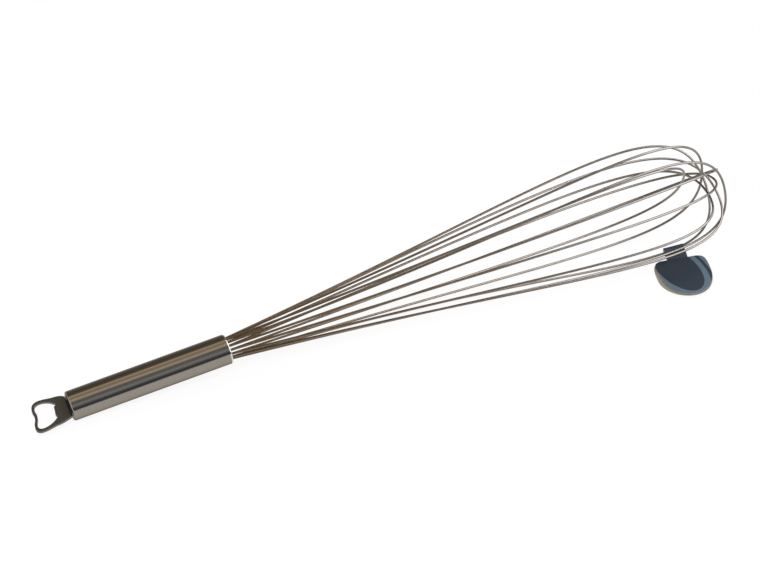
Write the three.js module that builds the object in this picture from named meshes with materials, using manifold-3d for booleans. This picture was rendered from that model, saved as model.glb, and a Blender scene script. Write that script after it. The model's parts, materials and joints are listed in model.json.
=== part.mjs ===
// A long balloon whisk lying on a table, in millimetres: +X towards the wire tips, +Z up.
// Eight wire loops stand in a steel tube handle. A bottle-opener plate closes its tail,
// and a folded tag hangs on one wire.

import * as THREE from 'three';
import { mergeVertices } from 'three/addons/utils/BufferGeometryUtils.js';
import Module from 'manifold-3d';

const wasm = await Module();
wasm.setup();

// Clearance between pieces that sit in one another
const FIT_GAP = 0.3;

// Handle: a tube with its rear edge turned in and its mouth edge eased
const HANDLE_DIAMETER = 25;
const HANDLE_LENGTH = 137.5;
const HANDLE_WALL = 1;
const REAR_EDGE_RADIUS = 1.8;
const REAR_RIM_WIDTH = 4;
const MOUTH_EDGE_RADIUS = 0.4;

// What holds the wire ends in the mouth
const PLUG_RECESS = 0.6;
const PLUG_LENGTH = 9;
const PLUG_EDGE = 1.1;
const RESIN_LENGTH = 30;
const RESIN_COVER = 4;

// Wires: one Bezier from the mouth to the tip of the loop, and one back
const WIRE_DIAMETER = 2.2;
const WIRE_SIDES = 8;
const LEG_STEPS = 20;
const RING_START = -33.75;
const BOW_REACH = 316;
const BOW_RADIUS = 43;

// Each loop: the ring holes of its two legs and the clock angles that the legs bow towards, then the reach
// of its tip as a share of BOW_REACH, and the tip's place off the axis (y, z) and the breadth of its bend
// as shares of BOW_RADIUS. Clock angles are degrees from straight up, turning away from the viewer (+Y).
const LOOPS = [
  { holes: [4, 11], bow: [83, 167], reach: 1.345, tip: [-0.093, -0.198], breadth: 2 },
  { holes: [3, 10], bow: [-8.5, 168], reach: 1.336, tip: [-0.109, 0.207], breadth: 2.2 },
  { holes: [5, 13], bow: [78, -119], reach: 1.369, tip: [-0.151, -0.358], breadth: 1.83 },
  { holes: [1, 12], bow: [-38, -118], reach: 1.38, tip: [-0.402, -0.168], breadth: 1.76 },
  { holes: [6, 14], bow: [99, -101], reach: 1.33, tip: [-0.39, -0.068], breadth: 1.74 },
  { holes: [2, 9], bow: [-27.5, 154.5], reach: 1.281, tip: [-0.122, 0.215], breadth: 1.78 },
  { holes: [7, 15], bow: [110, -70], reach: 1.376, tip: [0.051, -0.23], breadth: 1.32 },
  { holes: [0, 8], bow: [-50, 137], reach: 1.383, tip: [0.032, 0.002], breadth: 1.16 },
];

// Opener plate, its tang and what keeps the tang in the handle
const OPENER_LENGTH = 30.4;
const OPENER_WIDTH = 28.4;
const OPENER_ROOT_WIDTH = 20;
const OPENER_THICKNESS = 3.2;
const OPENER_TURN = -13;
const OPENER_SLANT = 0.17;
const OPENER_BAR = 2.6;
const OPENER_WAIST = 1.3;
const LIP_REACH = 12;
const LIP_WIDTH = 7.5;
const LIP_TOOTH = 1.7;
const TANG_SIDE_GAP = 2.5;
const TANG_THICKNESS = 2;
const TANG_LENGTH = 16;
const CAP_LENGTH = 4;
const PIN_DIAMETER = 3;
const PIN_LENGTH = 12;

// Tag: a round leaf on a neck whose collar wraps the lower leg of the first loop
const TAG_STATION = 384;
const TAG_BORE_CLEARANCE = 1.8;
const TAG_CARD = 0.5;
const TAG_THICKNESS = 2.2;
const TAG_WIDTH = 45.6;
const TAG_LENGTH = 56.4;
const TAG_NECK_WIDTH = 17;
const TAG_NECK_LENGTH = 10.3;
const TAG_SHOULDER = 15;
const TAG_SLANT = 0.12;
const TAG_SWAY = 3.5;
const TAG_YAW = -7.5;
const TAG_LEAN = 4;

const LATHE_SEGMENTS = 40;
const ROUND_SEGMENTS = 10;

// Sizes that follow
const handleRadius = HANDLE_DIAMETER / 2;
const boreRadius = handleRadius - HANDLE_WALL;
const insertRadius = boreRadius - FIT_GAP;
const rimBoreRadius = handleRadius - REAR_RIM_WIDTH;
const wireRadius = WIRE_DIAMETER / 2;
const wireHoleRadius = wireRadius + FIT_GAP;
const ringRadius = insertRadius - PLUG_EDGE - wireHoleRadius;
const legCount = 2 * LOOPS.length;
const plugBack = -PLUG_RECESS - PLUG_LENGTH;
const resinFront = plugBack - FIT_GAP;
const resinBack = resinFront - RESIN_LENGTH;
const legEnd = resinBack + RESIN_COVER;
const capBack = -HANDLE_LENGTH + HANDLE_WALL + FIT_GAP;
const capFront = capBack + CAP_LENGTH;
const tangWidth = 2 * (rimBoreRadius - TANG_SIDE_GAP);
const pinX = capFront + FIT_GAP + PIN_DIAMETER / 2;
const collarBore = wireRadius + TAG_BORE_CLEARANCE;
const collarRadius = collarBore + TAG_CARD;

const steel = { color: 0x9a958d, roughness: 0.34, metalness: 1 };
const wireSteel = { color: 0x8d877e, roughness: 0.28, metalness: 1 };
const darkSteel = { color: 0x45423e, roughness: 0.42, metalness: 1 };
const nylon = { color: 0x8f9092, roughness: 0.6, metalness: 0 };
const resin = { color: 0xb7a36a, roughness: 0.35, metalness: 0 };
const card = { color: 0x303741, roughness: 0.5, metalness: 0 };

// A closed geometry with shared corners and its faces turned outwards
function closed(geometry) {
  geometry.deleteAttribute('normal');
  geometry.deleteAttribute('uv');
  const merged = mergeVertices(geometry, 1e-4);
  const corners = merged.attributes.position;
  const index = merged.index.array;
  const at = (i) => new THREE.Vector3().fromBufferAttribute(corners, i);
  let volume = 0;
  for (let i = 0; i < index.length; i += 3) {
    volume += at(index[i]).dot(at(index[i + 1]).cross(at(index[i + 2])));
  }
  if (volume < 0) {
    for (let i = 0; i < index.length; i += 3) {
      [index[i], index[i + 1]] = [index[i + 1], index[i]];
    }
  }
  merged.computeVertexNormals();
  return merged;
}

function solidOf(geometry) {
  const { attributes, index } = closed(geometry);
  const vertProperties = new Float32Array(attributes.position.array);
  const triVerts = new Uint32Array(index.array);
  return new wasm.Manifold(new wasm.Mesh({ numProp: 3, vertProperties, triVerts }));
}

function joined(first, second) {
  const mesh = solidOf(first).add(solidOf(second)).getMesh();
  const geometry = new THREE.BufferGeometry();
  geometry.setAttribute('position', new THREE.BufferAttribute(new Float32Array(mesh.vertProperties), 3));
  geometry.setIndex(new THREE.BufferAttribute(new Uint32Array(mesh.triVerts), 1));
  return geometry;
}

function piece(name, geometry, look) {
  const mesh = new THREE.Mesh(closed(geometry), new THREE.MeshStandardMaterial(look));
  mesh.name = name;
  return mesh;
}

function circle(radius, x = 0, y = 0) {
  return new THREE.Path().absarc(x, y, radius, 0, 2 * Math.PI, false);
}

// A flat outline in Y and Z, drawn as (y, z), given a length along X from x
function alongX(shape, x, length, curveSegments) {
  const geometry = new THREE.ExtrudeGeometry(shape, { depth: length, bevelEnabled: false, curveSegments });
  const axes = new THREE.Matrix4();
  axes.makeBasis(new THREE.Vector3(0, 1, 0), new THREE.Vector3(0, 0, 1), new THREE.Vector3(1, 0, 0));
  return geometry.applyMatrix4(axes.setPosition(x, 0, 0));
}

// A flat outline in X and Y, centred on its thickness
function sheet(shape, thickness, curveSegments) {
  const geometry = new THREE.ExtrudeGeometry(shape, { depth: thickness, bevelEnabled: false, curveSegments });
  return geometry.translate(0, 0, -thickness / 2);
}

function onClock(radius, degrees, x = 0) {
  const angle = THREE.MathUtils.degToRad(degrees);
  return new THREE.Vector3(x, radius * Math.sin(angle), radius * Math.cos(angle));
}

function ringHole(number) {
  return onClock(ringRadius, RING_START + (number * 360) / legCount);
}

// Handle tube, turned about X: outer wall, turned-in rear rim, bore and eased mouth
function handleTube() {
  const profile = new THREE.Shape();
  profile.moveTo(rimBoreRadius, -HANDLE_LENGTH);
  profile.lineTo(handleRadius - REAR_EDGE_RADIUS, -HANDLE_LENGTH);
  profile.absarc(
    handleRadius - REAR_EDGE_RADIUS, REAR_EDGE_RADIUS - HANDLE_LENGTH, REAR_EDGE_RADIUS, -Math.PI / 2, 0, false,
  );
  profile.lineTo(handleRadius, -MOUTH_EDGE_RADIUS);
  profile.absarc(
    handleRadius - MOUTH_EDGE_RADIUS, -MOUTH_EDGE_RADIUS, MOUTH_EDGE_RADIUS, 0, Math.PI / 2, false,
  );
  profile.lineTo(boreRadius, 0);
  profile.lineTo(boreRadius, HANDLE_WALL - HANDLE_LENGTH);
  profile.lineTo(rimBoreRadius, HANDLE_WALL - HANDLE_LENGTH);
  profile.closePath();
  const turned = new THREE.LatheGeometry(profile.getPoints(4), LATHE_SEGMENTS);
  return turned.rotateZ(-Math.PI / 2);
}

// Disc with a hole for every wire leg
function legDisc(x, length) {
  const disc = new THREE.Shape(circle(insertRadius).getPoints(ROUND_SEGMENTS * 2));
  for (let number = 0; number < legCount; number += 1) {
    const centre = ringHole(number);
    disc.holes.push(circle(wireHoleRadius, centre.y, centre.z));
  }
  return alongX(disc, x, length, ROUND_SEGMENTS);
}

// Cap behind the rear rim, slotted for the tang
function rearCap() {
  const disc = new THREE.Shape(circle(insertRadius).getPoints(ROUND_SEGMENTS * 2));
  const halfWidth = tangWidth / 2 + FIT_GAP;
  const halfHeight = TANG_THICKNESS / 2 + FIT_GAP;
  const slot = new THREE.Path();
  slot.moveTo(-halfWidth, -halfHeight);
  slot.lineTo(halfWidth, -halfHeight);
  slot.lineTo(halfWidth, halfHeight);
  slot.lineTo(-halfWidth, halfHeight);
  slot.closePath();
  disc.holes.push(slot);
  return alongX(disc, capBack, CAP_LENGTH, ROUND_SEGMENTS);
}

// Opener plate behind the handle, with rounded lobes either side of a shallow waist,
// a hole inside a bar of even width, and a toothed lip on the handle side of the hole.
// The plate slants: its far side is shorter than its near side.
function openerPlate() {
  const root = -HANDLE_LENGTH - FIT_GAP;
  const tail = root - OPENER_LENGTH;
  const waist = tail + OPENER_WAIST;
  const half = OPENER_WIDTH / 2;
  const rootHalf = OPENER_ROOT_WIDTH / 2;
  const flank = root - LIP_REACH;
  const flankHalf = half - OPENER_BAR / 2;
  const lobe = half * 0.55;
  const at = (x, y) => [x + OPENER_SLANT * y, y];

  const plate = new THREE.Shape();
  plate.moveTo(root, rootHalf);
  plate.quadraticCurveTo(...at((root + flank) / 2, flankHalf), ...at(flank, flankHalf));
  plate.bezierCurveTo(...at((flank + tail) / 2, half), ...at(tail, half * 1.2), ...at(tail, lobe));
  plate.bezierCurveTo(...at(tail, lobe / 2), ...at(waist, lobe / 2), ...at(waist, 0));
  plate.bezierCurveTo(...at(waist, -lobe / 2), ...at(tail, -lobe / 2), ...at(tail, -lobe));
  plate.bezierCurveTo(...at(tail, -half * 1.2), ...at((flank + tail) / 2, -half), ...at(flank, -flankHalf));
  plate.quadraticCurveTo(...at((root + flank) / 2, -flankHalf), root, -rootHalf);
  plate.closePath();

  const holeTail = tail + OPENER_BAR;
  const holeWaist = waist + OPENER_BAR;
  const holeHalf = half - OPENER_BAR;
  const lip = LIP_WIDTH / 2;
  const tooth = flank + LIP_TOOTH;
  const notch = lip + LIP_TOOTH;
  const cheek = flank - LIP_TOOTH;
  const hole = new THREE.Path();
  hole.moveTo(...at(flank, -lip));
  hole.lineTo(...at(flank, lip));
  hole.quadraticCurveTo(...at(tooth, lip), ...at(tooth, notch));
  hole.bezierCurveTo(...at(cheek, holeHalf), ...at(holeTail, holeHalf * 1.3), ...at(holeTail, lobe));
  hole.bezierCurveTo(...at(holeTail, lobe / 2), ...at(holeWaist, lobe / 2), ...at(holeWaist, 0));
  hole.bezierCurveTo(...at(holeWaist, -lobe / 2), ...at(holeTail, -lobe / 2), ...at(holeTail, -lobe));
  hole.bezierCurveTo(...at(holeTail, -holeHalf * 1.3), ...at(cheek, -holeHalf), ...at(tooth, -notch));
  hole.quadraticCurveTo(...at(tooth, -lip), ...at(flank, -lip));
  plate.holes.push(hole);
  return sheet(plate, OPENER_THICKNESS, 8);
}

// Tang: a thinner strip from inside the plate to past the pin, pierced for the pin
function openerTang() {
  const back = -HANDLE_LENGTH - FIT_GAP - OPENER_BAR;
  const front = back + OPENER_BAR + TANG_LENGTH;
  const half = tangWidth / 2;
  const tang = new THREE.Shape();
  tang.moveTo(back, -half);
  tang.lineTo(front, -half);
  tang.lineTo(front, half);
  tang.lineTo(back, half);
  tang.closePath();
  tang.holes.push(circle(PIN_DIAMETER / 2 + FIT_GAP, pinX, 0));
  return sheet(tang, TANG_THICKNESS, ROUND_SEGMENTS);
}

function tangPin() {
  const pin = new THREE.CylinderGeometry(PIN_DIAMETER / 2, PIN_DIAMETER / 2, PIN_LENGTH, 2 * ROUND_SEGMENTS);
  return pin.rotateX(Math.PI / 2).translate(pinX, 0, 0);
}

// The two legs of a loop, each a Bezier from its hole in the mouth to the tip
function loopLegs({ holes, bow, reach, tip, breadth }) {
  const end = new THREE.Vector3(reach * BOW_REACH, tip[0] * BOW_RADIUS, tip[1] * BOW_RADIUS);
  const swell = breadth * BOW_RADIUS;
  const across = onClock(1, bow[0]).sub(onClock(1, bow[1])).normalize();
  return [0, 1].map((side) => new THREE.CubicBezierCurve3(
    ringHole(holes[side]),
    onClock(BOW_RADIUS, bow[side], BOW_REACH),
    end.clone().addScaledVector(across, side === 0 ? swell : -swell),
    end,
  ));
}

// Centre line of one wire: straight in the handle, out along one leg and back along the other.
// Its steps follow the Bezier parameter, so they crowd towards the tip.
class WireLine extends THREE.Curve {
  constructor(legs) {
    super();
    this.legs = legs;
    this.steps = 2 * LEG_STEPS + 2;
  }

  getPoint(share, target = new THREE.Vector3()) {
    const step = share * this.steps;
    const outward = step <= this.steps / 2;
    const along = (outward ? step : this.steps - step) - 1;
    const leg = this.legs[outward ? 0 : 1];
    if (along < 0) {
      target.copy(leg.v0);
      target.x = -along * legEnd;
      return target;
    }
    return leg.getPoint(along / LEG_STEPS, target);
  }

  getPointAt(share, target) {
    return this.getPoint(share, target);
  }

  getTangentAt(share, target) {
    return this.getTangent(share, target);
  }
}

function wireLoop(loop) {
  const line = new WireLine(loopLegs(loop));
  const section = new THREE.Shape();
  for (let side = 0; side < WIRE_SIDES; side += 1) {
    const angle = (side * 2 * Math.PI) / WIRE_SIDES;
    const corner = [wireRadius * Math.cos(angle), wireRadius * Math.sin(angle)];
    if (side === 0) section.moveTo(...corner);
    else section.lineTo(...corner);
  }
  section.closePath();
  return new THREE.ExtrudeGeometry(section, { steps: line.steps, extrudePath: line });
}

// Collar and neck of the tag, seen along the wire: round over the wire, flat below,
// sloping down above to the thickness of the leaf
function tagCollar() {
  const foot = new THREE.Vector2(-TAG_NECK_LENGTH, TAG_THICKNESS - collarRadius);
  const shoulder = foot.angle() - Math.acos(collarRadius / foot.length());
  const outline = new THREE.Shape();
  outline.moveTo(foot.x, -collarRadius);
  outline.lineTo(0, -collarRadius);
  outline.absarc(0, 0, collarRadius, -Math.PI / 2, shoulder, false);
  outline.lineTo(foot.x, foot.y);
  outline.closePath();
  outline.holes.push(circle(collarBore));
  return alongX(outline, -TAG_NECK_WIDTH / 2, TAG_NECK_WIDTH, ROUND_SEGMENTS);
}

// Leaf of the tag, towards -Y: slightly slanting shoulders beside the neck and a round end,
// which sways to the +X side
function tagLeaf() {
  const neck = TAG_NECK_WIDTH / 2;
  const half = TAG_WIDTH / 2;
  const top = (x) => -TAG_NECK_LENGTH - TAG_SLANT * x;
  const root = top(0) + TAG_THICKNESS;
  const end = -TAG_LENGTH;
  const widest = top(0) + (end - top(0)) * 0.4;
  const corner = (top(0) + widest) / 2;
  const bulge = 0.55;
  const sideY = widest + (end - widest) * bulge;
  const bulgeX = half * bulge;
  const leaf = new THREE.Shape();
  leaf.moveTo(-neck, root);
  leaf.lineTo(-neck, top(-neck));
  leaf.lineTo(-TAG_SHOULDER, top(-TAG_SHOULDER));
  leaf.bezierCurveTo(-half, top(-half), -half, corner, -half, widest);
  leaf.bezierCurveTo(-half, sideY, TAG_SWAY - bulgeX, end, TAG_SWAY, end);
  leaf.bezierCurveTo(TAG_SWAY + bulgeX, end, half, sideY, half, widest);
  leaf.bezierCurveTo(half, corner, half, top(half), TAG_SHOULDER, top(TAG_SHOULDER));
  leaf.lineTo(neck, top(neck));
  leaf.lineTo(neck, root);
  leaf.closePath();
  return sheet(leaf, TAG_THICKNESS, 10).translate(0, 0, TAG_THICKNESS / 2 - collarRadius);
}

// Place on a leg at a given distance from the mouth, by halving
function pointAtStation(leg, station) {
  let low = 0;
  let high = 1;
  for (let turn = 0; turn < 40; turn += 1) {
    const middle = (low + high) / 2;
    if (leg.getPoint(middle).x < station) low = middle;
    else high = middle;
  }
  return leg.getPoint(low);
}

// Lean of the whisk on the table: the handle's rear edge and the lowest wire both touch it
function restPitch() {
  let slope = 0;
  for (const loop of LOOPS) {
    for (const leg of loopLegs(loop)) {
      for (const point of leg.getPoints(200)) {
        slope = Math.max(slope, (wireRadius - point.z - handleRadius) / (point.x + HANDLE_LENGTH));
      }
    }
  }
  return Math.atan(slope);
}

const whisk = new THREE.Group();
whisk.add(piece('handle_tube', handleTube(), steel));
whisk.add(piece('front_plug', legDisc(plugBack, PLUG_LENGTH), nylon));
whisk.add(piece('potting_resin', legDisc(resinBack, RESIN_LENGTH), resin));
LOOPS.forEach((loop, number) => {
  whisk.add(piece(`wire_loop_${number + 1}`, wireLoop(loop), wireSteel));
});

const tail = new THREE.Group();
tail.rotation.x = THREE.MathUtils.degToRad(-OPENER_TURN);
tail.add(piece('bottle_opener', joined(openerPlate(), openerTang()), darkSteel));
tail.add(piece('rear_cap', rearCap(), nylon));
tail.add(piece('tang_pin', tangPin(), darkSteel));
whisk.add(tail);
whisk.rotation.y = -restPitch();

const tag = new THREE.Group();
tag.add(piece('swing_tag', joined(tagCollar(), tagLeaf()), card));
whisk.updateMatrix();
const [, taggedLeg] = loopLegs(LOOPS[0]);
tag.position.copy(pointAtStation(taggedLeg, TAG_STATION).applyMatrix4(whisk.matrix));
tag.rotation.set(0, THREE.MathUtils.degToRad(-TAG_LEAN), THREE.MathUtils.degToRad(TAG_YAW), 'ZYX');

// The part stands on Z = 0 with its box centred over the origin
const part = new THREE.Group();
part.add(whisk, tag);
part.updateMatrixWorld(true);
const box = new THREE.Box3().setFromObject(part, true);
const middle = box.getCenter(new THREE.Vector3());
part.position.set(-middle.x, -middle.y, -box.min.z);

export default part;
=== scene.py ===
"""A long balloon whisk on a white table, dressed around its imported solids.

Lengths are in metres. +X points to the wire tips and +Z up from the table.
"""
import json
from math import acos, atan, cos, pi, radians, sin

import bpy
import numpy as np
from mathutils import Matrix, Vector


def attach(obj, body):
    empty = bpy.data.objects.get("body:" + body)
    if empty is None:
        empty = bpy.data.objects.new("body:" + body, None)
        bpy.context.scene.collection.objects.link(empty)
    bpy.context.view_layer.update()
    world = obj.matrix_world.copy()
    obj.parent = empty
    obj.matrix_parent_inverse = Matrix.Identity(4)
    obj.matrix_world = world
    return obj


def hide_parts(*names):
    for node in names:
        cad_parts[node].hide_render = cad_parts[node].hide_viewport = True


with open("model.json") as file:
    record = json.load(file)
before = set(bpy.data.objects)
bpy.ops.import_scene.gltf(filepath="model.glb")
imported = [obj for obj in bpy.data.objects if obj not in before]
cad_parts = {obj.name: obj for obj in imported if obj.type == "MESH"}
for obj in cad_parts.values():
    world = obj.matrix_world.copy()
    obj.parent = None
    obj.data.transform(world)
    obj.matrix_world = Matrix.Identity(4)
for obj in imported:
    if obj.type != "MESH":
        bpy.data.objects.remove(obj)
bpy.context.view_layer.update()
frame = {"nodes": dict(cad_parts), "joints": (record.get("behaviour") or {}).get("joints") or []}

MM = 0.001
UV_LAYER = "surface"
SHARP_ANGLE = 35

# Handle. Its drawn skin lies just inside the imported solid
HANDLE_RADIUS = 12.5 * MM
HANDLE_SKIN = 12.48 * MM
HANDLE_LENGTH = 137.5 * MM
HANDLE_WALL = 1 * MM
HANDLE_SIDES = 144
REAR_EDGE_RADIUS = 1.8 * MM
REAR_RIM_WIDTH = 4 * MM
MOUTH_EDGE_RADIUS = 0.75 * MM
# Mouth's edge band in lighter steel: a painted highlight, the rim's bright line
MOUTH_HIGHLIGHT_WIDTH = 1.3 * MM
RIM_RADIUS = 0.2 * MM

# Wires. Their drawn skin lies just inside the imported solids
WIRE_RADIUS = 1.1 * MM
WIRE_SKIN = 1 * MM
WIRE_SIDES = 18
RING_RADIUS = 8.7 * MM
RING_START = -33.75
RING_STEP = 22.5
BOW_REACH = 316 * MM
BOW_RADIUS = 43 * MM
LEG_DEPTH = 35 * MM
LEG_SAMPLES = 97
INSIDE_SAMPLES = 4
LEAN_SAMPLES = 201

# Ring holes, bow clock angles, reach share, tip share (y, z) and breadth share of each loop
LOOPS = (
    ((4, 11), (83, 167), 1.345, (-0.093, -0.198), 2),
    ((3, 10), (-8.5, 168), 1.336, (-0.109, 0.207), 2.2),
    ((5, 13), (78, -119), 1.369, (-0.151, -0.358), 1.83),
    ((1, 12), (-38, -118), 1.38, (-0.402, -0.168), 1.76),
    ((6, 14), (99, -101), 1.33, (-0.39, -0.068), 1.74),
    ((2, 9), (-27.5, 154.5), 1.281, (-0.122, 0.215), 1.78),
    ((7, 15), (110, -70), 1.376, (0.051, -0.23), 1.32),
    ((0, 8), (-50, 137), 1.383, (0.032, 0.002), 1.16),
)

# Opener plate. Lobe and swells are shares of the half widths of the plate and of its hole
OPENER_GAP = 0.3 * MM
OPENER_LENGTH = 30.4 * MM
OPENER_WIDTH = 28.4 * MM
OPENER_ROOT_WIDTH = 20 * MM
OPENER_THICKNESS = 3.2 * MM
OPENER_TURN = -13
OPENER_SLANT = 0.17
OPENER_BAR = 2.6 * MM
OPENER_WAIST = 1.3 * MM
OPENER_LOBE = 0.55
OPENER_SWELL = 1.2
HOLE_SWELL = 1.3
OPENER_EDGE = 0.55 * MM
OPENER_INSET = 0.08 * MM
STRETCH_SAMPLES = (10, 12, 30, 14)
CORNER_SAMPLES = 5
FACE_SAMPLES = 7
LIP_REACH = 12 * MM
LIP_WIDTH = 7.5 * MM
LIP_TOOTH = 1.7 * MM
TANG_WIDTH = 12 * MM
TANG_THICKNESS = 2 * MM
TANG_LENGTH = 16 * MM

# Tag. Its widest place and its bulge are shares of the leaf, its edge lift of half the card
TAG_THICKNESS = 2.2 * MM
TAG_CARD = 0.9 * MM
TAG_WIDTH = 45.6 * MM
TAG_LENGTH = 55.4 * MM
TAG_NECK_WIDTH = 17 * MM
TAG_NECK_LENGTH = 10.3 * MM
TAG_SHOULDER = 15 * MM
TAG_WIDEST = 0.4
TAG_BULGE = 0.55
TAG_SLANT = 0.12
TAG_SWAY = 3.5 * MM
TAG_BASE = 3.4 * MM
TAG_COLLAR_RADIUS = 3.1 * MM
TAG_COLLAR_CARD = 0.35 * MM
TAG_LOW_INSET = 0.1 * MM
TAG_TOP_INSET = 0.4 * MM
TAG_PEEK = 3 * MM
TAG_BEVEL = 0.1 * MM
TAG_EDGE_LIFT = 0.75
TAG_STEP = 0.02 * MM
TAG_NARROWEST = 0.01 * MM
OUTLINE_SAMPLES = 80
LEAF_SAMPLES = 48
BEND_SAMPLES = 28
RISE_SAMPLES = 8
ACROSS_SAMPLES = 25

# Printed field on the tag's face: a leaning ellipse, and the bands around it as shares of it
FIELD_CENTRE = (-3.5 * MM, -21.9 * MM)
FIELD_RADII = (31.5 * MM, 15.4 * MM)
FIELD_TURN = -71.6
FIELD_REACH = 2.0
BAND_INNER = 1.0
BAND_OUTER = 1.26
BAND_CORNER = 1.43
BAND_SOFTNESS = 0.004

# Camera
CAMERA_AIM = (0.0019, 0.0243, 0.04)
CAMERA_DISTANCE = 3.151
CAMERA_AZIMUTH = -18.9
CAMERA_ELEVATION = 42.58
CAMERA_ROLL = -3.72
CAMERA_LENS = 182.4
CAMERA_SENSOR = 36
CAMERA_REACH = 50


def clock(radius, degrees, x=0.0):
    """Point at a clock angle about the whisk's axis: degrees from straight up, turning to +Y."""
    angle = radians(degrees)
    return np.array([x, radius * sin(angle), radius * cos(angle)])


def ring_hole(number):
    """Centre of one of the holes in the plug, which stand evenly on a ring."""
    return clock(RING_RADIUS, RING_START + RING_STEP * number)


def smooth_curve(controls, share):
    """Curve drawn out by its control points: neighbouring controls are blended by the share, and
    the results blended again, until one point is left."""
    layers = [np.asarray(c, float) + 0.0 * share[:, None] for c in controls]
    while len(layers) > 1:
        layers = [a + (b - a) * share[:, None] for a, b in zip(layers, layers[1:])]
    return layers[0]


def loop_controls(holes, bow, reach, tip, breadth):
    """Direction across a loop, and the control points of its two legs: hole, bow, the bend's
    breadth off the tip, tip."""
    end = np.array([reach * BOW_REACH, tip[0] * BOW_RADIUS, tip[1] * BOW_RADIUS])
    across = clock(1, bow[0]) - clock(1, bow[1])
    across = across / np.linalg.norm(across)
    swell = breadth * BOW_RADIUS
    return across, [
        [ring_hole(holes[0]), clock(BOW_RADIUS, bow[0], BOW_REACH), end + swell * across, end],
        [ring_hole(holes[1]), clock(BOW_RADIUS, bow[1], BOW_REACH), end - swell * across, end],
    ]


def resting_pitch():
    """Lean of the whisk that brings its lowest wire and the handle's rear edge to the table: the
    steepest slope from the rear edge to any point of the wires."""
    share = np.linspace(0, 1, LEAN_SAMPLES)
    legs = [smooth_curve(leg, share) for loop in LOOPS for leg in loop_controls(*loop)[1]]
    points = np.concatenate(legs)
    drop = WIRE_RADIUS - points[:, 2] - HANDLE_RADIUS
    return atan(np.max(drop / (points[:, 0] + HANDLE_LENGTH)))


def node_points(name):
    """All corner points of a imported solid."""
    mesh = frame["nodes"][name].data
    flat = np.empty(3 * len(mesh.vertices), np.float32)
    mesh.vertices.foreach_get("co", flat)
    return flat.reshape(-1, 3).astype(float)


PITCH = resting_pitch()
WHISK_AXES = np.array([[cos(PITCH), 0, sin(PITCH)], [0, 1, 0], [-sin(PITCH), 0, cos(PITCH)]])
handle_span = node_points("handle_tube") @ WHISK_AXES.T
handle_low, handle_high = handle_span.min(0), handle_span.max(0)
MOUTH = np.array([handle_high[0], *(handle_low + handle_high)[1:] / 2]) @ WHISK_AXES


def lying(points):
    """Whisk coordinates (mouth at zero, axis along X) taken to the table."""
    return points @ WHISK_AXES + MOUTH


tag_hinge = frame["joints"][0]
TAG_ORIGIN = np.array(tag_hinge["pos_m"])
tag_x = np.array(tag_hinge["axis"])
tag_y = np.cross([0, 0, 1], tag_x)
tag_y = tag_y / np.linalg.norm(tag_y)
TAG_AXES = np.array([tag_x, tag_y, np.cross(tag_x, tag_y)])


def on_tag(points):
    """Tag coordinates (wire at zero, leaf towards -Y) taken to the table."""
    return points @ TAG_AXES + TAG_ORIGIN


# Meshes

# Stands in for the ring column of the faces that close a skin's ends
END_FACES = -1


def skin(rings, looped, uv):
    """Quads over a stack of closed rings, (m, n, 3), turned to face outwards. A looped stack joins
    its last ring to its first; any other is closed by one polygon at each end. uv is
    (m + 1, n + 1, 2) or (m, n + 1, 2). Gives points, quads, their UV corners, the end polygons and
    each quad's column in its ring."""
    m, n = rings.shape[:2]
    rows = m if looped else m - 1
    i, j = np.meshgrid(np.arange(rows), np.arange(n), indexing="ij")
    below, right = (i + 1) % m, (j + 1) % n
    quads = np.stack([i * n + j, i * n + right, below * n + right, below * n + j], -1)
    corners = np.stack([uv[i, j], uv[i, j + 1], uv[i + 1, j + 1], uv[i + 1, j]], -2)
    quads, corners = quads.reshape(-1, 4), corners.reshape(-1, 4, 2)
    points = rings.reshape(-1, 3)
    a, b, c, d = (points[quads[:, k]] - points.mean(0) for k in range(4))
    volume = np.einsum("ij,ij->", np.cross(a, b), c) + np.einsum("ij,ij->", np.cross(a, c), d)
    inward = volume < 0
    if inward:
        quads, corners = quads[:, ::-1], corners[:, ::-1]
    ends = []
    if not looped:
        first, last = np.arange(n), np.arange(n) + (m - 1) * n
        ends = [first, last[::-1]] if inward else [first[::-1], last]
    return points, quads, corners, ends, np.tile(np.arange(n), rows)


def mesh_object(name, points, faces, corners, materials):
    """Object at the origin from points, faces, one UV pair for each face corner, and materials."""
    mesh = bpy.data.meshes.new(name)
    mesh.from_pydata(points, [], faces)
    layer = mesh.uv_layers.new(name=UV_LAYER)
    layer.data.foreach_set("uv", corners.astype(np.float32).ravel())
    for material in materials:
        mesh.materials.append(material)
    made = bpy.data.objects.new(name, mesh)
    bpy.context.scene.collection.objects.link(made)
    return made


def make_piece(name, shells, materials, body, node, second=()):
    """One piece from one or more skins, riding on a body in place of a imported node. Quads whose
    ring column is in second, or the end faces if END_FACES is, take the second material."""
    points, faces, corners, columns, start = [], [], [], [], 0
    for shell_points, quads, shell_corners, ends, shell_columns in shells:
        points.append(shell_points)
        faces += (quads + start).tolist() + [(end + start).tolist() for end in ends]
        corners += [shell_corners.reshape(-1, 2)] + [np.zeros((len(end), 2)) for end in ends]
        columns += [shell_columns, np.full(len(ends), END_FACES)]
        start += len(shell_points)
    piece = mesh_object(name, np.concatenate(points), faces, np.concatenate(corners), materials)
    mesh = piece.data
    if len(materials) > 1:
        takes_second = np.isin(np.concatenate(columns), second).astype(np.int32)
        mesh.polygons.foreach_set("material_index", takes_second)
    mesh.shade_smooth()
    mesh.set_sharp_from_angle(angle=radians(SHARP_ANGLE))
    mesh.validate()
    mesh.update()
    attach(piece, body)
    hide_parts(node)


def arc(x, y, radius, start, end, count):
    """Points on a circle about (x, y), from one angle in degrees to another."""
    angle = np.radians(np.linspace(start, end, count))
    return np.stack([x + radius * np.cos(angle), y + radius * np.sin(angle)], -1)


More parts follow.
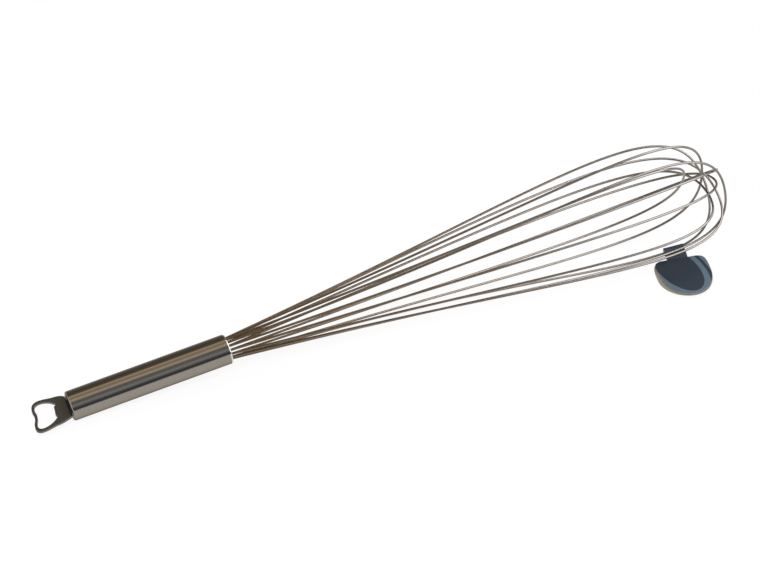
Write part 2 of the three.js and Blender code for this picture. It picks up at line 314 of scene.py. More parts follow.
def wire_loop(number, holes, bow, reach, tip, breadth):
    """Round wire along a centre line: straight in the handle, out on one leg's curve and back on
    the other's. The ring stands square to the line, turned from the normal of the loop's own
    plane. Its UV is the distance from the nearer wire end, and round the wire."""
    across, legs = loop_controls(holes, bow, reach, tip, breadth)
    share = np.linspace(0, 1, LEG_SAMPLES)
    out, back = (smooth_curve(leg, share) for leg in legs)
    inside = np.linspace(-LEG_DEPTH, 0, INSIDE_SAMPLES)[:-1, None] * np.array([1, 0, 0])
    line = np.concatenate([inside + out[0], out, back[-2::-1], (inside + back[0])[::-1]])
    tangent = np.gradient(line, axis=0)
    tangent /= np.linalg.norm(tangent, axis=1)[:, None]
    plane = np.cross([1, 0, 0], across)
    side = np.cross(tangent, plane)
    side /= np.linalg.norm(side, axis=1)[:, None]
    rise = np.cross(side, tangent)
    angle = np.linspace(0, 2 * pi, WIRE_SIDES + 1)
    turn = angle[None, :-1, None]
    spokes = np.cos(turn) * side[:, None] + np.sin(turn) * rise[:, None]
    rings = line[:, None] + WIRE_SKIN * spokes
    along = np.concatenate([[0], np.cumsum(np.linalg.norm(np.diff(line, axis=0), axis=1))])
    from_end = np.minimum(along, along[-1] - along)
    uv = np.stack(np.broadcast_arrays(from_end[:, None], WIRE_RADIUS * angle[None]), -1)
    shell = skin(lying(rings), False, uv)
    name = f"wire_loop_{number}"
    make_piece(f"{name}_drawn", [shell], [drawn_wire], "whisk", name)


def handle_tube():
    """Tube of revolution: its closed wall profile, (x, radius), turned about the whisk's axis. Its
    UV is the distance along the profile, and round the tube."""
    rim_samples, rear_samples, wall_samples, mouth_samples = 5, 12, 24, 8
    rear, bore = -HANDLE_LENGTH, HANDLE_RADIUS - HANDLE_WALL
    inner = rear + HANDLE_WALL
    hole = HANDLE_RADIUS - REAR_RIM_WIDTH
    edge, mouth, rim = REAR_EDGE_RADIUS, MOUTH_EDGE_RADIUS, RIM_RADIUS
    wall = np.linspace(rear + edge, -MOUTH_HIGHLIGHT_WIDTH, wall_samples)[1:]
    runs = [
        arc(rear + rim, hole + rim, rim, 270, 180, rim_samples),
        arc(rear + edge, HANDLE_SKIN - edge, edge, 180, 90, rear_samples),
        np.stack([wall, np.full_like(wall, HANDLE_SKIN)], -1),
        arc(-mouth, HANDLE_SKIN - mouth, mouth, 90, 0, mouth_samples),
        arc(-rim, bore + rim, rim, 0, -90, rim_samples),
        [[inner, bore]],
        arc(inner - rim, hole + rim, rim, 0, -90, rim_samples),
    ]
    profile = np.concatenate(runs)
    # The mouth's edge columns take the lighter steel of the painted highlight
    highlight_start = sum(len(run) for run in runs[:3]) - 1
    highlight_columns = range(highlight_start, highlight_start + mouth_samples + rim_samples)
    angle = np.linspace(0, 2 * pi, HANDLE_SIDES + 1)
    x, radius = profile[:, 0], profile[:, 1]
    turn = angle[:-1, None]
    rings = np.stack(np.broadcast_arrays(x, radius * np.sin(turn), radius * np.cos(turn)), -1)
    travel = np.linalg.norm(np.diff(profile, axis=0, append=profile[:1]), axis=1)
    along = np.concatenate([[0], np.cumsum(travel)])
    uv = np.stack(np.broadcast_arrays(along[None], HANDLE_RADIUS * angle[:, None]), -1)
    shell = skin(lying(rings), True, uv)
    steel = [brushed_tube, edge_highlight_steel]
    make_piece("handle_brushed", [shell], steel, "whisk", "handle_tube", highlight_columns)


def opener_outlines():
    """Outer outline and hole of the plate, (x, y), matched point for point along the same
    stretches. Each control point is (x, y, slide): the plate slants by moving its points along x
    with their slide."""
    root = -HANDLE_LENGTH - OPENER_GAP
    tail, flank = root - OPENER_LENGTH, root - LIP_REACH
    waist = tail + OPENER_WAIST
    half, root_half = OPENER_WIDTH / 2, OPENER_ROOT_WIDTH / 2
    flank_half, lobe = half - OPENER_BAR / 2, half * OPENER_LOBE
    hole_tail, hole_waist, hole_half = tail + OPENER_BAR, waist + OPENER_BAR, half - OPENER_BAR
    swell, hole_swell = half * OPENER_SWELL, hole_half * HOLE_SWELL
    lip, tooth, cheek = LIP_WIDTH / 2, flank + LIP_TOOTH, flank - LIP_TOOTH
    notch = lip + LIP_TOOTH

    def outline(*stretches):
        """Stretches of the far half joined in turn, and the near half mirrored from them."""
        runs = [smooth_curve(s, np.arange(n) / n) for s, n in zip(stretches, STRETCH_SAMPLES)]
        far = np.concatenate([*runs, [stretches[-1][-1]]])
        x, y, slide = np.concatenate([far, far[-2:0:-1] * [1, -1, -1]]).T
        return np.stack([x + OPENER_SLANT * slide, y], -1)

    def at(x, y):
        """Control point that slides by its full y."""
        return x, y, y

    outer = outline(
        [(root, 0, 0), (root, root_half, 0)],
        [(root, root_half, 0), at((root + flank) / 2, flank_half), at(flank, flank_half)],
        [at(flank, flank_half), at((flank + tail) / 2, half), at(tail, swell), at(tail, lobe)],
        [at(tail, lobe), at(tail, lobe / 2), at(waist, lobe / 2), at(waist, 0)],
    )
    hole = outline(
        [at(flank, 0), at(flank, lip)],
        [at(flank, lip), at(tooth, lip), at(tooth, notch)],
        [at(tooth, notch), at(cheek, hole_half), at(hole_tail, hole_swell), at(hole_tail, lobe)],
        [at(hole_tail, lobe), at(hole_tail, lobe / 2), at(hole_waist, lobe / 2), at(hole_waist, 0)],
    )
    return outer, hole


def bottle_opener():
    """Flat ring between two outlines, its section a rectangle with rounded corners, and a plain
    tang. Both lie in the plate's own plane, which is then rolled about the whisk's axis."""
    outer, hole = opener_outlines()
    inward = hole - outer
    width = np.linalg.norm(inward, axis=1)[:, None]
    half, edge = OPENER_THICKNESS / 2, OPENER_EDGE
    margin = edge + OPENER_INSET
    corner = arc(margin, half - edge, edge, 180, 90, CORNER_SAMPLES)
    share = np.linspace(0, 1, FACE_SAMPLES + 2)[None, 1:-1]
    depth = np.concatenate([
        np.broadcast_to(corner[:, 0], (len(outer), CORNER_SAMPLES)),
        margin + share * (width - 2 * margin),
        width - corner[::-1, 0],
    ], 1)
    height = np.concatenate([corner[:, 1], np.full(FACE_SAMPLES, half), corner[::-1, 1]])
    depth = np.concatenate([depth, depth[:, ::-1]], 1)
    height = np.concatenate([height, -height[::-1]])
    plane = outer[:, None] + depth[..., None] * (inward / width)[:, None]
    rings = np.concatenate([plane, np.broadcast_to(height, depth.shape)[..., None]], -1)
    uv = np.pad(rings[..., :2], ((0, 1), (0, 1), (0, 0)), mode="wrap")
    root = -HANDLE_LENGTH - OPENER_GAP
    stations = np.array([root - OPENER_BAR, root - OPENER_GAP, root + TANG_LENGTH])
    tang_half = np.array([TANG_WIDTH, TANG_THICKNESS]) / 2
    square = np.array([[-1, -1], [1, -1], [1, 1], [-1, 1]]) * tang_half
    tang = np.concatenate([
        np.broadcast_to(stations[:, None, None], (len(stations), len(square), 1)),
        np.broadcast_to(square, (len(stations), *square.shape)),
    ], -1)
    tang_uv = np.pad(tang[..., :2], ((0, 0), (0, 1), (0, 0)), mode="wrap")
    turn = radians(-OPENER_TURN)
    roll = np.array([[1, 0, 0], [0, cos(turn), sin(turn)], [0, -sin(turn), cos(turn)]])
    shells = [skin(lying(rings @ roll), True, uv), skin(lying(tang @ roll), False, tang_uv)]
    sides = (2 * CORNER_SAMPLES + FACE_SAMPLES - 1, rings.shape[1] - 1)
    steel = [stamped_plate, sheared_edge]
    make_piece("opener_stamped", shells, steel, "whisk", "bottle_opener", sides)


def tag_path():
    """Folded strip seen from its side, (y, z): along the lower leaf from its round end, up to the
    wire and round it, down the slope and along the upper leaf. Also tells which points lie past
    the bend."""
    radius = TAG_COLLAR_RADIUS - TAG_COLLAR_CARD / 2
    low = -TAG_BASE + TAG_CARD / 2
    high = TAG_THICKNESS - TAG_BASE - TAG_CARD / 2
    top = -TAG_NECK_LENGTH
    foot = np.array([top, high])
    crest = np.degrees(pi + atan(high / top) - acos(radius / np.linalg.norm(foot)))

    def leaf_run(inset):
        """Places along a leaf, closer together at its round end, and a short step at the neck."""
        end = -TAG_LENGTH + inset + TAG_STEP
        run = end + (top - end) * (1 - np.cos(np.linspace(0, pi / 2, LEAF_SAMPLES)))
        return np.concatenate([run[:-1], [top - TAG_STEP, top + TAG_STEP]])

    lower, upper = leaf_run(TAG_LOW_INSET), leaf_run(TAG_TOP_INSET)[::-1]
    bend = arc(0, 0, radius, -90, crest, BEND_SAMPLES)
    rise = np.linspace([top, low], bend[0], RISE_SAMPLES)[1:-1]
    slope = np.linspace(bend[-1], foot, RISE_SAMPLES)[1:-1]
    path = np.concatenate([
        np.stack([lower, np.full_like(lower, low)], -1),
        rise,
        bend,
        slope,
        np.stack([upper, np.full_like(upper, high)], -1),
    ])
    return path, np.arange(len(path)) >= len(lower) + len(rise) + len(bend)


def tag_sections(place, inset):
    """Half width, slant and sway of the leaf at places along it. Its outline's control points are
    (half width, place, slant, sway): slanting shoulders beside the neck, then a round end that
    sways."""
    top, end = -TAG_NECK_LENGTH, -TAG_LENGTH + inset
    half = TAG_WIDTH / 2 - inset
    widest = top + (end - top) * TAG_WIDEST
    share = np.linspace(0, 1, OUTLINE_SAMPLES)
    outline = np.concatenate([
        smooth_curve([
            (TAG_SHOULDER, top, TAG_SHOULDER, 0), (half, top, half, 0),
            (half, (top + widest) / 2, 0, 0), (half, widest, 0, 0),
        ], share),
        smooth_curve([
            (half, widest, 0, 0), (half, widest + (end - widest) * TAG_BULGE, 0, 0),
            (half * TAG_BULGE, end, 0, TAG_SWAY), (0, end, 0, TAG_SWAY),
        ], share)[1:],
    ])
    width, slant, sway = (np.interp(-place, -outline[:, 1], outline[:, k]) for k in (0, 2, 3))
    on_neck = place > top
    width = np.where(on_neck, TAG_NECK_WIDTH / 2, width)
    leaf_slant = slant / np.maximum(width, TAG_NARROWEST)
    slant = np.where(on_neck, np.clip(place / top, 0, 1), leaf_slant)
    return width, TAG_SLANT * slant, np.where(on_neck, 0, sway)


def swing_tag():
    """Card strip folded over the wire: a path carries a flat section, as wide as the tag's outline
    there. The upper leaf is drawn in along its left side, where the lower one peeks out. Its UV is
    the place on the face, and the collar repeats the neck's."""
    path, on_top = tag_path()
    place, top = path[:, 0], -TAG_NECK_LENGTH
    width, slant, sway = np.where(
        on_top, tag_sections(place, TAG_TOP_INSET), tag_sections(place, TAG_LOW_INSET),
    )
    drawn_in = np.sin(pi * np.clip((place - top) / (-TAG_LENGTH - top), 0, 1))
    left = sway - width + np.where(on_top, TAG_PEEK * drawn_in, 0)
    right = sway + width

    # The section stands upright at the step, where the path's own slope would tip it
    heading = np.gradient(path, axis=0)
    at_step = np.abs(place - top) < 2 * TAG_STEP
    heading[at_step] = np.where(on_top[at_step, None], [[-1, 0]], [[1, 0]])
    heading /= np.linalg.norm(heading, axis=1)[:, None]
    outward = np.stack([heading[:, 1], -heading[:, 0]], -1)

    # Round the section: upper face, right edge, lower face, left edge
    half_card = np.interp(place, [top, 0], [TAG_CARD / 2, TAG_COLLAR_CARD / 2])[:, None]
    across = np.linspace(0, 1, ACROSS_SAMPLES)
    face_left, face_right = (left + TAG_BEVEL)[:, None], (right - TAG_BEVEL)[:, None]
    face_x = face_left + across * np.maximum(face_right - face_left, 0)
    face_lift = np.ones(ACROSS_SAMPLES)
    edge_lift = np.array([TAG_EDGE_LIFT, 0, -TAG_EDGE_LIFT])
    left_x, right_x = (np.repeat(side[:, None], edge_lift.size, 1) for side in (left, right))
    x = np.concatenate([face_x, right_x, face_x[:, ::-1], left_x], 1)
    lift = half_card * np.concatenate([face_lift, edge_lift, -face_lift, -edge_lift])
    yz = path[:, None] + outward[:, None] * lift[..., None]
    yz[..., 0] -= slant[:, None] * x
    rings = np.concatenate([x[..., None], yz], -1)
    print_place = np.stack([x, np.minimum(rings[..., 1], top)], -1)
    uv = np.pad(print_place, ((0, 0), (0, 1), (0, 0)), mode="wrap")
    unprinted = [END_FACES, *range(ACROSS_SAMPLES - 1, rings.shape[1])]
    shell = skin(on_tag(rings), False, uv)
    card = [printed_card, raw_board]
    make_piece("tag_folded", [shell], card, "tag", "swing_tag", unprinted)


# Materials

# Most of a noise texture's values lie between these
NOISE_LOW = 0.3
NOISE_HIGH = 0.7


def linear(colour):
    """sRGB hex to linear RGBA."""
    share = np.array([(colour >> shift) & 255 for shift in (16, 8, 0)]) / 255
    curve = np.where(share <= 0.04045, share / 12.92, ((share + 0.055) / 1.055) ** 2.4)
    return (*curve.tolist(), 1.0)


def add(tree, kind, settings=None, stops=(), **inputs):
    """Adds a node with its settings and the stops of its colour ramp. An input is a value, or a
    socket to link from. Its key is the socket's name, or _ and its number where names repeat."""
    node = tree.nodes.new(kind)
    for key, value in (settings or {}).items():
        setattr(node, key, value)
    for number, (place, colour) in enumerate(stops):
        elements = node.color_ramp.elements
        element = elements[number] if number < len(elements) else elements.new(place)
        element.position = place
        element.color = linear(colour)
    for key, value in inputs.items():
        socket = node.inputs[int(key[1:]) if key[0] == "_" else key.replace("_", " ")]
        if isinstance(value, bpy.types.NodeSocket):
            tree.links.new(value, socket)
        else:
            socket.default_value = value
    return node


def empty_material(name):
    """A material with nothing in it, and its node tree."""
    material = bpy.data.materials.new(name)
    material.use_nodes = True
    material.node_tree.nodes.clear()
    return material, material.node_tree


def brushed_tube_material():
    """Stainless tube, satin-brushed round its girth: long soft reflections broken by short fine
    lines, which are drawn coarser than real ones, to show."""
    line_width, line_length = 0.6 * MM, 7 * MM
    material, tree = empty_material("stainless_tube_satin_brushed")
    own = add(tree, "ShaderNodeUVMap", {"uv_map": UV_LAYER}).outputs["UV"]
    girth = add(
        tree, "ShaderNodeMapping", Vector=own, Scale=(1 / line_width, 1 / line_length, 1),
    ).outputs["Vector"]
    lines = add(
        tree, "ShaderNodeTexNoise", Vector=girth, Scale=1.0, Detail=3.0, Roughness=0.6,
    ).outputs["Fac"]
    tone = add(
        tree, "ShaderNodeValToRGB",
        stops=[(NOISE_LOW, 0x8A837B), (NOISE_HIGH, 0x948D85)], Fac=lines,
    ).outputs["Color"]
    rough = add(
        tree, "ShaderNodeMapRange", Value=lines,
        From_Min=NOISE_LOW, From_Max=NOISE_HIGH, To_Min=0.09, To_Max=0.15,
    ).outputs["Result"]
    scratch = add(
        tree, "ShaderNodeBump", Strength=0.14, Distance=0.05 * MM, Height=lines,
    ).outputs["Normal"]
    shader = add(
        tree, "ShaderNodeBsdfPrincipled", Base_Color=tone, Metallic=1.0, Roughness=rough,
        Specular_Tint=linear(0xACA6A0), Normal=scratch,
    ).outputs["BSDF"]
    add(tree, "ShaderNodeOutputMaterial", Surface=shader)
    return material


def edge_highlight_material():
    """Stainless tube at the mouth's edge: lighter steel, a painted highlight that draws the rim's
    bright line, clouded a little at random.
    """
    cloud_size = 1.5 * MM
    material, tree = empty_material("stainless_tube_edge_painted_highlight")
    place = add(tree, "ShaderNodeTexCoord").outputs["Object"]
    edge_clouds = add(
        tree, "ShaderNodeTexNoise", Vector=place, Scale=1 / cloud_size, Detail=2.0,
    ).outputs["Fac"]
    tone = add(
        tree, "ShaderNodeValToRGB",
        stops=[(NOISE_LOW, 0xD2CEC9), (NOISE_HIGH, 0xE2DFDA)], Fac=edge_clouds,
    ).outputs["Color"]
    shader = add(
        tree, "ShaderNodeBsdfPrincipled", Base_Color=tone, Metallic=1.0, Roughness=0.08,
    ).outputs["BSDF"]
    add(tree, "ShaderNodeOutputMaterial", Surface=shader)
    return material


def drawn_wire_material():
    """Stainless wire, bright drawn: a soft highlight with faint die lines along the wire, and a
    painted warm reflection near the handle that fades out towards the tip. The lines are drawn
    coarser than real ones, to show."""
    line_length, line_width = 40 * MM, 0.5 * MM
    painted_reflection_full, painted_reflection_gone = 60 * MM, 360 * MM
    material, tree = empty_material("stainless_wire_bright_drawn")
    own = add(tree, "ShaderNodeUVMap", {"uv_map": UV_LAYER}).outputs["UV"]
    length = add(
        tree, "ShaderNodeMapping", Vector=own, Scale=(1 / line_length, 1 / line_width, 1),
    ).outputs["Vector"]
    lines = add(
        tree, "ShaderNodeTexNoise", Vector=length, Scale=1.0, Detail=2.0,
    ).outputs["Fac"]
    tone = add(
        tree, "ShaderNodeValToRGB",
        stops=[(NOISE_LOW, 0x7E7770), (NOISE_HIGH, 0x928B84)], Fac=lines,
    ).outputs["Color"]
    # Painted warm reflection: the base is tinted warm near the handle, fading to none by the tip
    from_end = add(tree, "ShaderNodeSeparateXYZ", Vector=own).outputs["X"]
    painted_warm_reflection = add(
        tree, "ShaderNodeValToRGB",
        stops=[(painted_reflection_full, 0xEED8BA), (painted_reflection_gone, 0xFFFFFF)], Fac=from_end,
    ).outputs["Color"]
    tinted = add(
        tree, "ShaderNodeVectorMath", {"operation": "MULTIPLY"}, _0=tone, _1=painted_warm_reflection,
    ).outputs["Vector"]
    rough = add(
        tree, "ShaderNodeMapRange", Value=lines,
        From_Min=NOISE_LOW, From_Max=NOISE_HIGH, To_Min=0.24, To_Max=0.32,
    ).outputs["Result"]
    shader = add(
        tree, "ShaderNodeBsdfPrincipled", Base_Color=tinted, Metallic=1.0, Roughness=rough,
    ).outputs["BSDF"]
    add(tree, "ShaderNodeOutputMaterial", Surface=shader)
    return material


def stamped_plate_material():
    """Stainless plate, stamped and tumbled: an even dull sheen with small soft clouding."""
    cloud_size = 2.5 * MM
    material, tree = empty_material("stainless_plate_stamped_tumbled")
    own = add(tree, "ShaderNodeUVMap", {"uv_map": UV_LAYER}).outputs["UV"]
    spread = add(
        tree, "ShaderNodeMapping", Vector=own, Scale=(1 / cloud_size, 1 / cloud_size, 1),
    ).outputs["Vector"]
    clouds = add(
        tree, "ShaderNodeTexNoise", Vector=spread, Scale=1.0, Detail=4.0,
    ).outputs["Fac"]
    tone = add(
        tree, "ShaderNodeValToRGB",
        stops=[(NOISE_LOW, 0x505255), (NOISE_HIGH, 0x585A5D)], Fac=clouds,
    ).outputs["Color"]
    rough = add(
        tree, "ShaderNodeMapRange", Value=clouds,
        From_Min=NOISE_LOW, From_Max=NOISE_HIGH, To_Min=0.36, To_Max=0.46,
    ).outputs["Result"]
    shader = add(
        tree, "ShaderNodeBsdfPrincipled", Base_Color=tone, Metallic=1.0, Roughness=rough,
    ).outputs["BSDF"]
    add(tree, "ShaderNodeOutputMaterial", Surface=shader)
    return material


def sheared_edge_material():
    """Stainless plate, sheared edge: a lighter, warmer cut face with fine streaks down the cut."""
    streak_width, streak_length = 0.3 * MM, 2 * MM
    material, tree = empty_material("stainless_plate_sheared_edge")
    place = add(tree, "ShaderNodeTexCoord").outputs["Object"]
    streaked = add(
        tree, "ShaderNodeMapping", Vector=place,
        Scale=(1 / streak_width, 1 / streak_width, 1 / streak_length),
    ).outputs["Vector"]
    streaks = add(
        tree, "ShaderNodeTexNoise", Vector=streaked, Scale=1.0, Detail=2.0,
    ).outputs["Fac"]
    tone = add(
        tree, "ShaderNodeValToRGB",
        stops=[(NOISE_LOW, 0x70645B), (NOISE_HIGH, 0x7E7268)], Fac=streaks,
    ).outputs["Color"]
    shader = add(
        tree, "ShaderNodeBsdfPrincipled", Base_Color=tone, Metallic=1.0, Roughness=0.4,
    ).outputs["BSDF"]
    add(tree, "ShaderNodeOutputMaterial", Surface=shader)
    return material


def printed_card_material():
    """Coated card, offset printed: smooth dark ink with a soft sheen, and curved bands of a paler
    ink. A ring is the distance from the field's centre in radii of its ellipse."""
    mottle_size = 3 * MM
    dark, pale = 0x262D37, 0x4F616D
    material, tree = empty_material("coated_card_printed")
    own = add(tree, "ShaderNodeUVMap", {"uv_map": UV_LAYER}).outputs["UV"]
    placed = add(
        tree, "ShaderNodeMapping", {"vector_type": "TEXTURE"}, Vector=own,
        Location=(*FIELD_CENTRE, 0), Rotation=(0, 0, radians(FIELD_TURN)), Scale=(*FIELD_RADII, 1),
    ).outputs["Vector"]
    ring = add(
        tree, "ShaderNodeVectorMath", {"operation": "LENGTH"}, _0=placed,
    ).outputs["Value"]
    share = add(
        tree, "ShaderNodeMath", {"operation": "MULTIPLY"}, _0=ring, _1=1 / FIELD_REACH,
    ).outputs["Value"]
    stops = [(0, dark)]
    for edge, ink in ((BAND_INNER, pale), (BAND_OUTER, dark), (BAND_CORNER, pale)):
        at = edge / FIELD_REACH
        stops += [(at - BAND_SOFTNESS, stops[-1][1]), (at + BAND_SOFTNESS, ink)]
    print_tone = add(tree, "ShaderNodeValToRGB", stops=stops, Fac=share).outputs["Color"]
    spread = add(
        tree, "ShaderNodeMapping", Vector=own, Scale=(1 / mottle_size, 1 / mottle_size, 1),
    ).outputs["Vector"]
    mottle = add(
        tree, "ShaderNodeTexNoise", Vector=spread, Scale=1.0, Detail=3.0,
    ).outputs["Fac"]
    rough = add(
        tree, "ShaderNodeMapRange", Value=mottle, To_Min=0.4, To_Max=0.52,
    ).outputs["Result"]
    dimples = add(
        tree, "ShaderNodeBump", Strength=0.05, Distance=0.1 * MM, Height=mottle,
    ).outputs["Normal"]
    shader = add(
        tree, "ShaderNodeBsdfPrincipled", Base_Color=print_tone, Roughness=rough,
        Specular_IOR_Level=0.3, Normal=dimples,
    ).outputs["BSDF"]
    add(tree, "ShaderNodeOutputMaterial", Surface=shader)
    return material


def raw_board_material():
    """Grey board, guillotine cut: a matt warm edge with fine layered fibres."""
    fibre_size = 0.4 * MM
    material, tree = empty_material("grey_board_cut_edge")
    place = add(tree, "ShaderNodeTexCoord").outputs["Object"]
    fibres = add(
        tree, "ShaderNodeTexNoise", Vector=place, Scale=1 / fibre_size, Detail=3.0,
    ).outputs["Fac"]
    tone = add(
        tree, "ShaderNodeValToRGB",
        stops=[(NOISE_LOW, 0x787168), (NOISE_HIGH, 0x8E867C)], Fac=fibres,
    ).outputs["Color"]
    shader = add(
        tree, "ShaderNodeBsdfPrincipled", Base_Color=tone, Roughness=0.85,
    ).outputs["BSDF"]
    add(tree, "ShaderNodeOutputMaterial", Surface=shader)
    return material


def moulded_material(name, low, high, roughness, grain):
    """A moulded or cast filling inside the handle: small tone changes at the size of its grain."""
    material, tree = empty_material(name)
    place = add(tree, "ShaderNodeTexCoord").outputs["Object"]
    cloud = add(
        tree, "ShaderNodeTexNoise", Vector=place, Scale=1 / grain, Detail=3.0,
    ).outputs["Fac"]
    tone = add(
        tree, "ShaderNodeValToRGB", stops=[(NOISE_LOW, low), (NOISE_HIGH, high)], Fac=cloud,
    ).outputs["Color"]
    dimples = add(
        tree, "ShaderNodeBump", Strength=0.1, Distance=0.1 * MM, Height=cloud,
    ).outputs["Normal"]
    shader = add(
        tree, "ShaderNodeBsdfPrincipled", Base_Color=tone, Roughness=roughness, Normal=dimples,
    ).outputs["BSDF"]
    add(tree, "ShaderNodeOutputMaterial", Surface=shader)
    return material


brushed_tube = brushed_tube_material()
edge_highlight_steel = edge_highlight_material()
drawn_wire = drawn_wire_material()
stamped_plate = stamped_plate_material()
sheared_edge = sheared_edge_material()
printed_card = printed_card_material()
raw_board = raw_board_material()
# Nylon, moulded: an even satin grey. Epoxy, cast: smoother, and a cloudy amber
nylon = moulded_material("nylon_moulded", 0x5C5C5D, 0x6A6A6B, 0.55, 1.2 * MM)
epoxy = moulded_material("epoxy_cast", 0xA8935C, 0xBBA66E, 0.3, 4 * MM)

# Pieces

for number, loop in enumerate(LOOPS, 1):
    wire_loop(number, *loop)
handle_tube()
bottle_opener()
swing_tag()
for node, material in (
    ("front_plug", nylon), ("rear_cap", nylon), ("potting_resin", epoxy),
    ("tang_pin", stamped_plate),
):
    slots = frame["nodes"][node].data.materials
    slots.clear()
    slots.append(material)


# Stage. The floor is shown white, apart from a share of real shading

WHITE = linear(0xFFFFFF)
FLOOR_TONE = linear(0xF3F3F3)
FLOOR_SHADING = 0.12
FLOOR_HALF = 4.0
ROOM_LIGHT = 0.45

# Name, place, width and watts of each lamp. Both shine at the origin
LAMPS = (
    ("key", (-0.6, -1.2, 1.9), 1.4, 42),
    ("fill", (1.2, 0.6, 1.6), 1.6, 18),
)

# Studio around the whisk, seen only in reflections. Tones are (degrees, colour), from the front
# horizon over the top to the back: warm lamp strips beside dark walls over the handle, a dim warm
# room over the neck and a softbox over the wires
CANOPY_RADIUS = 1.4
CANOPY_STEPS = 90
HANDLE_TONES = (
    (0, 0x74757F), (10, 0x5C5D68), (20, 0x646871), (30, 0xA8ADB5), (38, 0xC2C7CF), (48, 0xA8ACB3),
    (59, 0x868A91), (69, 0xB4ABA0), (76, 0xFFF3D9), (83, 0xFFF3D9), (88, 0xCEC1BC), (96, 0xC8BBBA),
    (103, 0xD4BC9C), (108, 0xFFEAB4), (114, 0xFFEAB4), (119, 0xB8A080), (125, 0x787472),
    (150, 0x706D6C), (180, 0xA8A49E),
)
NECK_TONES = (
    (0, 0x1A110A), (22, 0x1A110A), (32, 0xD8B690), (54, 0xD8B690), (66, 0x1A110A), (180, 0x1A110A),
)
WIRE_TONES = (
    (0, 0x302C2D), (9, 0x302C2D), (14, 0xF2F7FF), (112, 0xF2F7FF), (120, 0x302C2D), (180, 0x302C2D),
)

# Name, span along X, strength and tones of each canopy
CANOPIES = (
    ("canopy_over_handle", (-1.6, 0.22), 1.0, HANDLE_TONES),
    ("canopy_over_neck", (0.22, 0.44), 1.0, NECK_TONES),
    ("canopy_over_wires", (0.44, 1.9), 4.0, WIRE_TONES),
)


def background_share(tree):
    """1 for a ray that shows the background: seen directly, mirrored or through glass."""
    ray = add(tree, "ShaderNodeLightPath").outputs
    either = add(
        tree, "ShaderNodeMath", {"operation": "MAXIMUM"},
        _0=ray["Is Camera Ray"], _1=ray["Is Glossy Ray"],
    ).outputs["Value"]
    return add(
        tree, "ShaderNodeMath", {"operation": "MAXIMUM"},
        _0=either, _1=ray["Is Transmission Ray"],
    ).outputs["Value"]


def floor_material():
    """White table top: shown white, with a share of real shading so that the whisk keeps its
    shadow."""
    material, tree = empty_material("table_white")
    matt = add(tree, "ShaderNodeBsdfDiffuse", Color=FLOOR_TONE).outputs["BSDF"]
    glow = add(tree, "ShaderNodeEmission", Color=WHITE, Strength=1.0).outputs["Emission"]
    shown = add(
        tree, "ShaderNodeMixShader", Fac=FLOOR_SHADING, _1=glow, _2=matt,
    ).outputs["Shader"]
    mixed = add(
        tree, "ShaderNodeMixShader", Fac=background_share(tree), _1=matt, _2=shown,
    ).outputs["Shader"]
    add(tree, "ShaderNodeOutputMaterial", Surface=mixed)
    return material


def canopy(name, span, strength, tones):
    """Half cylinder about the X axis, open below, that shines with the tone of each height."""
    material, tree = empty_material(name)
    own = add(tree, "ShaderNodeUVMap", {"uv_map": UV_LAYER}).outputs["UV"]
    height = add(tree, "ShaderNodeSeparateXYZ", Vector=own).outputs["Y"]
    stops = [(degrees / 180, colour) for degrees, colour in tones]
    tone = add(tree, "ShaderNodeValToRGB", stops=stops, Fac=height).outputs["Color"]
    glow = add(tree, "ShaderNodeEmission", Color=tone, Strength=strength).outputs["Emission"]
    add(tree, "ShaderNodeOutputMaterial", Surface=glow)
    share = np.linspace(0, 1, CANOPY_STEPS + 1)
    y, z = -CANOPY_RADIUS * np.cos(pi * share), CANOPY_RADIUS * np.sin(pi * share)
    points = np.stack(np.broadcast_arrays(np.array(span)[None], y[:, None], z[:, None]), -1)
    quads = np.arange(CANOPY_STEPS)[:, None] * 2 + np.array([0, 1, 3, 2])
    uv = np.stack([np.tile([0.0, 1.0], share.size), np.repeat(share, 2)], -1)[quads.ravel()]
    sheet = mesh_object(name, points.reshape(-1, 3), quads.tolist(), uv, [material])
    sheet.visible_camera = False
    sheet.visible_diffuse = False
    sheet.visible_shadow = False
    sheet.visible_transmission = False


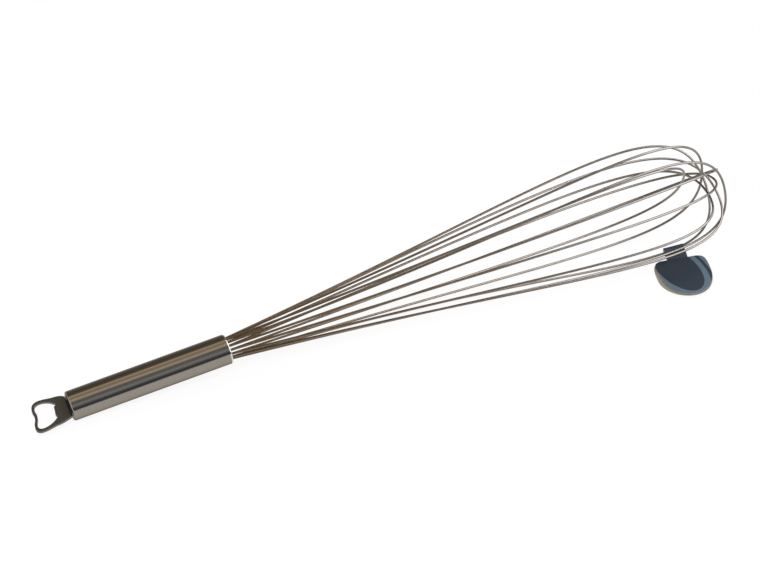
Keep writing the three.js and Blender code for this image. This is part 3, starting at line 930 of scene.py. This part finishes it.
def lamp(name, place, width, watts):
    """Soft round lamp that no reflection shows."""
    light = bpy.data.lights.new(name, "AREA")
    light.shape = "DISK"
    light.size = width
    light.energy = watts
    lit = bpy.data.objects.new(name, light)
    lit.location = place
    lit.rotation_euler = (-Vector(place)).to_track_quat("-Z", "Y").to_euler()
    lit.visible_glossy = False
    bpy.context.scene.collection.objects.link(lit)


def white_room():
    """World that lights softly, and is white wherever it is seen."""
    world = bpy.data.worlds.new("white_room")
    bpy.context.scene.world = world
    world.use_nodes = True
    tree = world.node_tree
    tree.nodes.clear()
    soft = add(tree, "ShaderNodeBackground", Color=WHITE, Strength=ROOM_LIGHT)
    white = add(tree, "ShaderNodeBackground", Color=WHITE, Strength=1.0)
    shown = add(
        tree, "ShaderNodeMixShader", Fac=background_share(tree),
        _1=soft.outputs["Background"], _2=white.outputs["Background"],
    ).outputs["Shader"]
    add(tree, "ShaderNodeOutputWorld", Surface=shown)


def place_camera():
    """Camera at an azimuth, elevation and distance from its aim, rolled about its line of sight."""
    angles = (CAMERA_AZIMUTH, CAMERA_ELEVATION, CAMERA_ROLL)
    azimuth, elevation, roll = (radians(angle) for angle in angles)
    flat = cos(elevation)
    back = np.array([sin(azimuth) * flat, -cos(azimuth) * flat, sin(elevation)])
    level = np.array([cos(azimuth), sin(azimuth), 0])
    upright = np.cross(back, level)
    right = cos(roll) * level + sin(roll) * upright
    up = np.cross(back, right)
    place = np.array(CAMERA_AIM) + CAMERA_DISTANCE * back
    data = bpy.data.cameras.new("camera")
    data.lens = CAMERA_LENS
    data.sensor_width = CAMERA_SENSOR
    data.clip_end = CAMERA_REACH
    camera = bpy.data.objects.new("camera", data)
    rows = np.column_stack([right, up, back, place]).tolist()
    camera.matrix_world = Matrix([*rows, [0, 0, 0, 1]])
    bpy.context.scene.collection.objects.link(camera)
    bpy.context.scene.camera = camera


table_corners = FLOOR_HALF * np.array([[-1, -1, 0], [1, -1, 0], [1, 1, 0], [-1, 1, 0]])
table = mesh_object(
    "table", table_corners, [(0, 1, 2, 3)], table_corners[:, :2], [floor_material()],
)
for sheet in CANOPIES:
    canopy(*sheet)
for light in LAMPS:
    lamp(*light)
white_room()
place_camera()
bpy.context.scene.view_settings.view_transform = "Standard"
